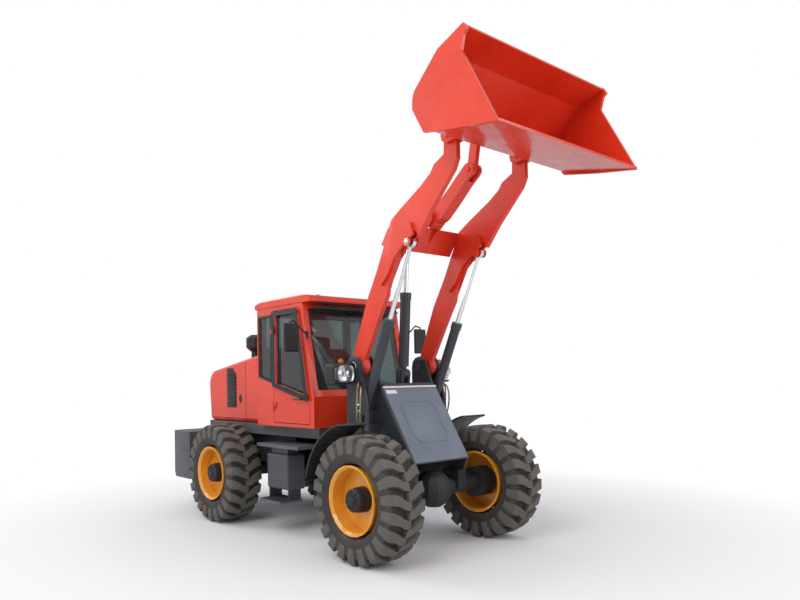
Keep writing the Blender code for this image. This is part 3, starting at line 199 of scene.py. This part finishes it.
def joined(*parts):
    """Several bmeshes as one."""
    whole = bmesh.new()
    for part in parts:
        data = bpy.data.meshes.new("part")
        part.to_mesh(data)
        part.free()
        whole.from_mesh(data)
        bpy.data.meshes.remove(data)
    return whole


def slab(low, high, round_by=0.004):
    """A box between two corners, with rounded edges."""
    low, high = Vector(low), Vector(high)
    mesh = bmesh.new()
    bmesh.ops.create_cube(mesh, size=1)
    bmesh.ops.scale(mesh, vec=high - low, verts=mesh.verts)
    bmesh.ops.translate(mesh, vec=(low + high) / 2, verts=mesh.verts)
    round_by = min(round_by, 0.4 * min(high - low))
    bmesh.ops.bevel(mesh, geom=mesh.edges[:], offset=round_by, segments=2, profile=0.5, affect="EDGES")
    return mesh


def angles(count, start=0.0):
    """That many angles, evenly round a full turn."""
    return [2 * math.pi * i / count + start for i in range(count)]


def skin(mesh, rings, closed=False):
    """Faces from each ring to the next. Closed, the last ring meets the first; otherwise both ends are capped."""
    for first, second in zip(rings, rings[1:] + rings[:1] if closed else rings[1:]):
        for i in range(len(first)):
            j = (i + 1) % len(first)
            mesh.faces.new((first[i], first[j], second[j], second[i]))
    if not closed:
        mesh.faces.new(rings[0])
        mesh.faces.new(rings[-1])


def turned(profile, centre, axis, steps=32):
    """A closed body of revolution: profile is (along, radius) pairs, from the first end to the last."""
    mesh = bmesh.new()
    axis = Vector(axis).normalized()
    across = axis.orthogonal().normalized()
    other = axis.cross(across)
    rings = []
    for along, radius in profile:
        middle = Vector(centre) + axis * along
        rings.append(
            [mesh.verts.new(middle + (across * math.cos(a) + other * math.sin(a)) * radius) for a in angles(steps)]
        )
    skin(mesh, rings)
    return mesh


SPLINE_STEPS = 6


def tube(points, radius, steps=10):
    """A round tube along a smooth line through the points."""
    points = [Vector(p) for p in points]
    line = []
    for i in range(len(points) - 1):
        a, b, c, d = (points[max(0, min(len(points) - 1, i + k))] for k in (-1, 0, 1, 2))
        for s in range(SPLINE_STEPS):
            t = s / SPLINE_STEPS
            squared, cubed = 2 * a - 5 * b + 4 * c - d, 3 * b - a - 3 * c + d
            line.append(0.5 * (2 * b + (c - a) * t + squared * t * t + cubed * t**3))
    line.append(points[-1])
    mesh = bmesh.new()
    rings, across = [], (line[1] - line[0]).orthogonal().normalized()
    for i, point in enumerate(line):
        along = (line[min(i + 1, len(line) - 1)] - line[max(i - 1, 0)]).normalized()
        across = (across - across.dot(along) * along).normalized()
        other = along.cross(across)
        rings.append(
            [mesh.verts.new(point + radius * (across * math.cos(a) + other * math.sin(a))) for a in angles(steps)]
        )
    skin(mesh, rings)
    return mesh


def prism(outline, low, high, to_space):
    """A flat outline given thickness; to_space turns (a, b, depth) into a point."""
    mesh = bmesh.new()
    rings = [[mesh.verts.new(to_space(a, b, depth)) for a, b in outline] for depth in (low, high)]
    for i in range(len(outline)):
        j = (i + 1) % len(outline)
        mesh.faces.new((rings[0][i], rings[0][j], rings[1][j], rings[1][i]))
    mesh.faces.new(rings[0])
    mesh.faces.new(rings[1])
    bmesh.ops.triangulate(mesh, faces=[f for f in mesh.faces if len(f.verts) > 4])
    return mesh


# Wheels: carcass with a crowned tread, raised lugs, planetary hub cap and bolts -----------------
LUGS, LUG_DEPTH, LUG_SUNK, LUG_TAPER = 22, 0.05, 0.03, 0.86
BEAD_RADIUS, CARCASS_STEPS = 0.335, 96
# Across the tread: share of the half width, share of a pitch that it leans, half the lug's angle, drop of its top
LUG_STATIONS = (
    (-0.06, 0.0, 0.27, 0.0), (0.25, 0.1, 0.28, 0.0), (0.55, 0.34, 0.3, 0.001),
    (0.8, 0.44, 0.33, 0.006), (0.97, 0.46, 0.34, 0.026), (0.995, 0.46, 0.3, 0.085),
)  # fmt: skip


def tyre(name, end, side_name):
    """A carcass with two rows of lugs, in place of the plain tyre."""
    low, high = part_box(name)
    centre, radius = (low + high) / 2, (high.z - low.z) / 2
    half = (high.y - low.y) / 2
    base, bead = radius - LUG_DEPTH, BEAD_RADIUS
    half_profile = (
        (0.36, bead), (0.78, bead + 0.004), (0.9, bead + 0.03), (0.985, bead + 0.09),
        (0.99, base - 0.06), (0.9, base - 0.015), (0.55, base), (0.0, base + 0.004),
    )  # fmt: skip
    profile = [(-w * half, r) for w, r in half_profile] + [(w * half, r) for w, r in reversed(half_profile[:-1])]
    carcass = bmesh.new()
    rings = [
        [carcass.verts.new(centre + Vector((r * math.cos(a), along, r * math.sin(a)))) for a in angles(CARCASS_STEPS)]
        for along, r in profile
    ]
    skin(carcass, rings, closed=True)
    lugs = bmesh.new()
    pitch = 2 * math.pi / LUGS
    for i in range(2 * LUGS):
        hand = 1 if i % 2 else -1
        turn = i * pitch / 2
        loops = []
        for share, lean, wide, drop in LUG_STATIONS:
            foot, top, narrow = base - LUG_SUNK - drop, radius - drop, wide * LUG_TAPER
            loop = []
            for angle, r in ((-wide, foot), (-narrow, top), (narrow, top), (wide, foot)):
                a = turn + pitch * (lean + angle)
                loop.append(lugs.verts.new(centre + Vector((r * math.cos(a), hand * share * half, r * math.sin(a)))))
            loops.append(loop)
        skin(lugs, loops)
    whole = joined(carcass, lugs)
    made = piece(f"{end}_{side_name}_treaded_tyre", whole, RUBBER, f"{end}_{side_name}_wheel")
    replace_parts(made, name)


CAP_BACK, CAP_STEPS = 0.075, 40
CAP_PROFILE = ((0.0, 0.11), (0.045, 0.108), (0.056, 0.098), (0.058, 0.05), (0.07, 0.046), (0.072, 0.03))
BOLTS, BOLT_CIRCLE, BOLT_TURN = 8, 0.077, 0.2
BOLT_PROFILE = ((0, 0.0105), (0.064, 0.0105), (0.067, 0.008))


def hub(end, side_name, side):
    """A planetary hub cap and its bolts."""
    low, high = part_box(f"{end}_{side_name}_rim")
    centre = (low + high) / 2
    outer = high.y if side > 0 else -low.y
    axis = (0, side, 0)
    cap_at = Vector((centre.x, side * (outer - CAP_BACK), centre.z))
    parts = [turned(CAP_PROFILE, cap_at, axis, CAP_STEPS)]
    for a in angles(BOLTS, BOLT_TURN):
        bolt_at = cap_at + Vector((BOLT_CIRCLE * math.cos(a), 0, BOLT_CIRCLE * math.sin(a)))
        parts.append(turned(BOLT_PROFILE, bolt_at, axis, 6))
    piece(f"{end}_{side_name}_hub_cap", joined(*parts), IRON, f"{end}_{side_name}_wheel")


for end in ("front", "rear"):
    for side_name, side in TRACK_SIDES:
        tyre(f"{end}_{side_name}_tyre", end, side_name)
        hub(end, side_name, side)

# Seat: two crowned cushions, pulled in at their sides, in the room of the plain one ----------------------
def cushion(name, low, high, crown, channels, face):
    """A pad that is crowned on one face, pulled in at its sides and sewn across in channels."""
    low, high = Vector(low), Vector(high)
    mesh = bmesh.new()
    bmesh.ops.create_cube(mesh, size=2)
    bmesh.ops.subdivide_edges(mesh, edges=mesh.edges[:], cuts=22, use_grid_fill=True)
    middle, half = (low + high) / 2, (high - low) / 2
    for vert in mesh.verts:
        x, y, z = vert.co
        u, v, w = (y, z, x) if face == "x" else (x, y, z)
        thick = max(0.0, 1 - u**4) ** 0.35 * max(0.0, 1 - v**4) ** 0.35
        sewn = 1 - 0.16 * math.exp(-((math.sin(math.pi * channels * (u + 1) / 2) / 0.22) ** 2))
        w *= (0.55 + 0.45 * thick) * (sewn if w > 0 else 1) * (1 - crown + crown * thick)
        pull = 1 - 0.035 * (1 - w * w)
        u, v = u * pull * (1 - 0.05 * v * v), v * pull * (1 - 0.05 * u * u)
        x, y, z = (w, u, v) if face == "x" else (u, v, w)
        vert.co = middle + Vector((x * half.x, y * half.y, z * half.z))
    made = piece(name, mesh, VINYL, "rear_half")
    return made


seat_low, seat_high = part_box("operator_seat")
SEAT_Z, PAD, CROWN, CHANNELS = 1.68, 0.13, 0.2, 3
a, b = seat_low, seat_high
cushion("seat_cushion", (a.x + 0.06, a.y, SEAT_Z - PAD), (b.x, b.y, SEAT_Z), CROWN, CHANNELS, "z")
cushion("seat_back", (a.x, a.y + 0.01, SEAT_Z), (a.x + PAD, b.y - 0.01, b.z), CROWN, CHANNELS, "x")
pedestal = joined(
    slab((a.x + 0.08, a.y + 0.05, a.z), (b.x - 0.06, b.y - 0.05, a.z + 0.05)),
    slab((a.x + 0.12, a.y + 0.1, a.z + 0.04), (b.x - 0.12, b.y - 0.1, SEAT_Z - 0.11), 0.01),
)
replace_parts(piece("seat_base", pedestal, BLACK, "rear_half"), "operator_seat")

# Shield plate: embossed panel, blank plate and a top flange painted white as a highlight
# ---------------------------------
SHIELD_TOP, SHIELD_FOOT = Vector((-0.285, 0, 1.63)), Vector((0.172, 0, 0.884))
down = (SHIELD_FOOT - SHIELD_TOP).normalized()
out = Vector((-down.z, 0, down.x)).normalized()
if out.x < 0:
    out = -out
length = (SHIELD_FOOT - SHIELD_TOP).length


def on_shield(across, along, depth):
    """A point on the sloping plate: across it, down from its top edge, and proud of it."""
    return place(*(SHIELD_TOP + down * along + out * depth)) + Vector((0, across, 0))


def cut_corner(low_y, high_y, low_s, high_s, cut):
    """A rectangle with its corners cut off."""
    return (
        (low_y + cut, low_s), (high_y - cut, low_s), (high_y, low_s + cut), (high_y, high_s - cut),
        (high_y - cut, high_s), (low_y + cut, high_s), (low_y, high_s - cut), (low_y, low_s + cut),
    )  # fmt: skip


panel = prism(cut_corner(-0.375, 0.375, 0.03, length - 0.01, 0.01), 0.0, 0.004, on_shield)
rim_outer, rim_inner = cut_corner(-0.25, 0.25, 0.17, 0.66, 0.07), cut_corner(-0.225, 0.225, 0.195, 0.635, 0.06)
ridge = bmesh.new()
RIDGE_FOOT, RIDGE_TOP = 0.003, 0.009
ridge_lines = ((rim_outer, RIDGE_FOOT), (rim_outer, RIDGE_TOP), (rim_inner, RIDGE_TOP), (rim_inner, RIDGE_FOOT))
rings = [[ridge.verts.new(on_shield(a, b, depth)) for a, b in outline] for outline, depth in ridge_lines]
skin(ridge, rings, closed=True)
piece("shield_face", panel, SHIELD, "front_half")
piece("shield_emboss", ridge, SHIELD, "front_half")
plate = prism(cut_corner(-0.36, -0.22, 0.05, 0.09, 0.004), 0.003, 0.006, on_shield)
piece("shield_blank_plate", plate, WHITE, "front_half")
# The top flange uses the white plate finish as a painted highlight, not as its own colour.
flange = prism(cut_corner(-0.38, 0.38, 0.006, 0.024, 0.003), 0.0, 0.012, on_shield)
piece("shield_flange", flange, WHITE, "front_half")

# Headlights: reflector, bulbs and lens; marker and roof lamps -------------------------------------
OVAL_STEPS = 28
BULB = ((0.003, 0.034), (0.008, 0.034), (0.009, 0.026))
LENS_LOOPS = ((1.0, 0.004), (1.0, 0.009), (0.94, 0.015), (0.7, 0.02), (0.35, 0.0215))  # share of the outline, proud by
MARKER_LAMP = ((-0.02, 0.014), (0.0, 0.026), (0.018, 0.028), (0.022, 0.02))
ROOF_LAMP = ((-0.05, 0.02), (-0.03, 0.036), (0.0, 0.042), (0.012, 0.042), (0.014, 0.036))
FORWARD = (1, 0, 0)
for side_name, side in TRACK_SIDES:
    low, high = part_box(f"headlight_{side_name}")
    centre = (low + high) / 2
    face = high.x
    wide, tall = (high.y - low.y) / 2, (high.z - low.z) / 2
    oval = [(centre.y + 0.95 * wide * math.copysign(abs(math.cos(a)) ** 0.6, math.cos(a)),
             centre.z + 0.88 * tall * math.copysign(abs(math.sin(a)) ** 0.7, math.sin(a)))
            for a in angles(OVAL_STEPS)]  # fmt: skip
    facing = lambda a, b, depth: Vector((face + depth, a, b))
    piece(f"lamp_reflector_{side_name}", prism(oval, 0.001, 0.003, facing), CHROME, "front_half")
    bulbs = [turned(BULB, (face, centre.y + dy, centre.z), FORWARD, 24) for dy in (-0.05, 0.05)]
    piece(f"lamp_bulbs_{side_name}", joined(*bulbs), CHROME, "front_half")
    lens = bmesh.new()
    loops = []
    for share, depth in LENS_LOOPS:
        shrunk = [(centre.y + (a - centre.y) * share, centre.z + (b - centre.z) * share) for a, b in oval]
        loops.append([lens.verts.new((face + depth, a, b)) for a, b in shrunk])
    skin(lens, loops)
    piece(f"lamp_lens_{side_name}", lens, LENS_GLASS, "front_half")
    top_lamp = Vector((centre.x + 0.02, centre.y, high.z + 0.022))
    marker = turned(MARKER_LAMP, top_lamp, FORWARD, 24)
    piece(f"marker_lamp_{side_name}", marker, AMBER, "front_half")
    roof_lamp = place(-1.125, side * 0.547, 2.607)
    piece(f"roof_lamp_{side_name}", turned(ROOF_LAMP, roof_lamp, FORWARD, 28), CHROME, "rear_half")

# Hood: side vents with slats, oval ports as black discs of painted shade, and seams
# -----------------------------------------------------
HOOD_HALF, SLATS, SLAT_PITCH = 0.60, 9, 0.05
VENT = ((-3.09, 1.38), (-2.85, 1.38), (-2.85, 1.8), (-2.94, 1.89), (-3.09, 1.89))
SEAM = ((-2.62, 1.23), (-2.614, 1.23), (-2.614, 1.95), (-2.62, 1.95))
PORT, PORT_WIDE, PORT_TALL = (-2.75, 1.495), 0.035, 0.055
for side_name, side in TRACK_SIDES:
    flat = lambda a, b, depth, side=side: place(a, side * (HOOD_HALF + depth), b)
    vent = [prism(VENT, -0.004, 0.003, flat)]
    near, far = sorted((side * 0.602, side * 0.614))
    for i in range(SLATS):
        z = 1.405 + SLAT_PITCH * i
        vent.append(slab(place(-3.075, near, z), place(-2.865, far, z + 0.022), 0.003))
    piece(f"hood_vent_{side_name}", joined(*vent), BLACK, "rear_half")
    # Each oval port is a flat black disc on the hood side: painted shade standing in for the hole.
    oval = [(PORT[0] + PORT_WIDE * math.cos(a), PORT[1] + PORT_TALL * math.sin(a)) for a in angles(24)]
    piece(f"hood_port_{side_name}", prism(oval, -0.004, 0.003, flat), BLACK, "rear_half")
    piece(f"hood_seam_{side_name}", prism(SEAM, -0.004, 0.0015, flat), BLACK, "rear_half")

# Window seals, door handles, visor bars and wiper -------------------------------------------------
def hull(points):
    """The convex outline of flat points, turning left."""
    points = sorted(set(points))
    halves = []
    for run in (points, points[::-1]):
        edge = []
        for p in run:
            while len(edge) > 1:
                (ax, az), (bx, bz) = edge[-2:]
                if (bx - ax) * (p[1] - az) > (bz - az) * (p[0] - ax):
                    break
                edge.pop()
            edge.append(p)
        halves.append(edge[:-1])
    return halves[0] + halves[1]


def grown(outline, by):
    """An outline with each corner moved out along its two sides' middle line."""
    moved = []
    for i, here in enumerate(outline):
        before, after = Vector(outline[i - 1]), Vector(outline[(i + 1) % len(outline)])
        here = Vector(here)
        first, second = (here - before).normalized(), (after - here).normalized()
        out_first, out_second = Vector((first.y, -first.x)), Vector((second.y, -second.x))
        out_both = (out_first + out_second).normalized()
        moved.append(here + out_both * (by / max(0.5, out_both.dot(out_first))))
    return [tuple(p) for p in moved]


DOOR_SEAL, QUARTER_SEAL, SEAL_IN, SEAL_PROUD, CAB_HALF = 0.045, 0.02, -0.006, 0.006, 0.70
SEALED = (
    ("door_glass_right", -1, "right_door"), ("door_glass_left", 1, "left_door"),
    ("quarter_window_right", -1, "rear_half"), ("quarter_window_left", 1, "rear_half"),
)  # fmt: skip
for pane, side, body in SEALED:
    flat_points = [(round(v.co.x, 4), round(v.co.z, 4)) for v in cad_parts[pane].data.vertices]
    outline = hull(flat_points)
    if "door" in pane:
        low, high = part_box(pane.replace("door_glass", "door"))
        face_y, width = high.y if side > 0 else low.y, DOOR_SEAL
    else:
        face_y, width = side * CAB_HALF, QUARTER_SEAL
    outer, inner = grown(outline, width), grown(outline, SEAL_IN)
    seal = bmesh.new()
    lines = ((outer, -0.001), (outer, SEAL_PROUD * 0.6), (inner, SEAL_PROUD), (inner, -0.001))
    loops = [[seal.verts.new((a, face_y + side * depth, b)) for a, b in line] for line, depth in lines]
    skin(seal, loops, closed=True)
    piece(f"seal_{pane}", seal, BLACK, body, smooth=False)

for side_name, side in TRACK_SIDES:
    low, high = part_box(f"door_{side_name}")
    face_y = high.y if side > 0 else low.y
    at_x = high.x - 0.09
    handle = [(at_x - 0.14, face_y - side * 0.002, 1.50), (at_x - 0.135, face_y + side * 0.03, 1.50),
              (at_x - 0.015, face_y + side * 0.03, 1.50), (at_x - 0.01, face_y - side * 0.002, 1.50)]  # fmt: skip
    piece(f"door_handle_{side_name}", tube(handle, 0.008), BLACK, f"{side_name}_door")

BAR_X, BAR_Z = -1.1, 2.56
bars = []
for y in (-0.62, 0.62):
    run = ((-0.1, y, 0.02), (0, y, 0), (0.02, y * 0.9, -0.01))
    bars.append(tube([place(BAR_X + x, across, BAR_Z + z) for x, across, z in run], 0.011))
for z in (0.01, 0.05):
    bars.append(tube([place(BAR_X + x, y, BAR_Z - z) for x, y in ((0.02, -0.57), (0.03, 0), (0.02, 0.57))], 0.01))
bars += [slab(place(BAR_X - 0.06, -0.60, BAR_Z - 0.075), place(BAR_X + 0.035, 0.60, BAR_Z - 0.06), 0.005)]
piece("windshield_visor_bars", joined(*bars), BLACK, "rear_half")
wiper = joined(tube([place(-1.045, 0.02, 1.56), place(-1.06, -0.05, 1.75), place(-1.115, -0.2, 2.02)], 0.006),
               slab(place(-1.10, -0.205, 1.86), place(-1.09, -0.19, 1.9), 0.003))  # fmt: skip
piece("windshield_wiper", wiper, BLACK, "rear_half")

# Pin heads with their grease points, and the rigid tubes by the towers -----------------------------
HEAD_EDGE = 0.006
GREASE_POINT = ((0.0, 0.011), (0.018, 0.011), (0.02, 0.008))
TUBE_RADIUS = 0.009
# Name, place, how far out, radius, body
PINS = (
    ("boom_pivot", (-0.494, 1.838), 0.575, 0.042, "front_half"),
    ("lift_base", (-0.425, 1.42), 0.575, 0.036, "front_half"),
    ("lift_eye", (0.285, 2.985), 0.54, 0.036, "boom_arm"),
)
for label, (x, z), reach, radius, body in PINS:
    heads = []
    for side in (-1, 1):
        at, outward = place(x, side * reach, z), (0, side, 0)
        heads.append(turned(((-0.012, radius), (0.008, radius), (0.012, radius - HEAD_EDGE)), at, outward, 28))
        heads.append(turned(GREASE_POINT, at, outward, 6))
    piece(f"pin_heads_{label}", joined(*heads), CHROME, body)

TUBE_RUNS = (
    ((-0.44, 0.565, 1.62), (-0.38, 0.61, 1.67), (-0.37, 0.64, 1.56), (-0.39, 0.63, 1.35), (-0.44, 0.565, 1.16)),
    ((-0.41, 0.565, 1.58), (-0.34, 0.61, 1.63), (-0.32, 0.64, 1.52), (-0.34, 0.63, 1.34), (-0.41, 0.565, 1.12)),
)
for side_name, side in TRACK_SIDES:
    for i, run in enumerate(TUBE_RUNS):
        run = [place(x, side * y, z) for x, y, z in run]
        piece(f"rigid_tube_{side_name}_{i + 1}", tube(run, TUBE_RADIUS), BRASS, "front_half")

# Studio -----------------------------------------------------------------------------------------
FLOOR_SIZE = 60.0
FADE = (2.5, 6.0)


def stage_material(name, shade):
    """A matt floor that keeps the shadow near the object and fades to plain white, for the camera, away from it."""
    made = bpy.data.materials.new(name)
    made.use_nodes = True
    tree = made.node_tree
    matt = tree.nodes["Principled BSDF"]
    matt.inputs["Base Color"].default_value = (shade, shade, shade, 1)
    matt.inputs["Roughness"].default_value = 0.9
    white = tree.nodes.new("ShaderNodeEmission")
    far = tree.nodes.new("ShaderNodeMapRange")
    away = tree.nodes.new("ShaderNodeVectorMath")
    away.operation = "LENGTH"
    tree.links.new(tree.nodes.new("ShaderNodeTexCoord").outputs["Object"], away.inputs[0])
    tree.links.new(away.outputs["Value"], far.inputs["Value"])
    far.inputs["From Min"].default_value, far.inputs["From Max"].default_value = FADE
    rays = tree.nodes.new("ShaderNodeLightPath")
    seen_far = tree.nodes.new("ShaderNodeMath")
    seen_far.operation = "MULTIPLY"
    tree.links.new(far.outputs["Result"], seen_far.inputs[0])
    tree.links.new(rays.outputs["Is Camera Ray"], seen_far.inputs[1])
    blend = tree.nodes.new("ShaderNodeMixShader")
    tree.links.new(seen_far.outputs[0], blend.inputs[0])
    tree.links.new(matt.outputs[0], blend.inputs[1])
    tree.links.new(white.outputs[0], blend.inputs[2])
    tree.links.new(blend.outputs[0], tree.nodes["Material Output"].inputs["Surface"])
    return made


floor_mesh = bmesh.new()
bmesh.ops.create_grid(floor_mesh, x_segments=2, y_segments=2, size=FLOOR_SIZE)
floor_data = bpy.data.meshes.new("floor")
floor_mesh.to_mesh(floor_data)
floor_mesh.free()
floor = bpy.data.objects.new("floor", floor_data)
floor_data.materials.append(stage_material("floor", 0.86))
scene.collection.objects.link(floor)

world = bpy.data.worlds.new("studio")
scene.world = world
world.use_nodes = True
tree = world.node_tree
plain = tree.nodes["Background"]
plain.inputs["Color"].default_value = (0.93, 0.95, 1.0, 1)
plain.inputs["Strength"].default_value = 0.66
seen = tree.nodes.new("ShaderNodeBackground")
seen.inputs["Color"].default_value = (1, 1, 1, 1)
paths = tree.nodes.new("ShaderNodeLightPath")
mix = tree.nodes.new("ShaderNodeMixShader")
either = tree.nodes.new("ShaderNodeMath")
either.operation = "MAXIMUM"
tree.links.new(paths.outputs["Is Camera Ray"], either.inputs[0])
tree.links.new(paths.outputs["Is Transmission Ray"], either.inputs[1])
tree.links.new(either.outputs[0], mix.inputs[0])
tree.links.new(plain.outputs[0], mix.inputs[1])
tree.links.new(seen.outputs[0], mix.inputs[2])
tree.links.new(mix.outputs[0], tree.nodes["World Output"].inputs["Surface"])

LAMPS = (
    ("key", (3.5, -8.0, 8.0), 6.0, 430.0),
    ("fill", (9.0, 3.0, 5.0), 6.0, 200.0),
    ("rim", (-7.0, -5.0, 7.0), 5.0, 220.0),
)
for name, spot, size, power in LAMPS:
    light = bpy.data.lights.new(name, "AREA")
    light.size, light.energy = size, power
    lamp = bpy.data.objects.new(name, light)
    scene.collection.objects.link(lamp)
    lamp.location = spot
    lamp.rotation_euler = (Vector((0, 0, 1.6)) - Vector(spot)).to_track_quat("-Z", "Y").to_euler()

scene.view_settings.view_transform = "Standard"
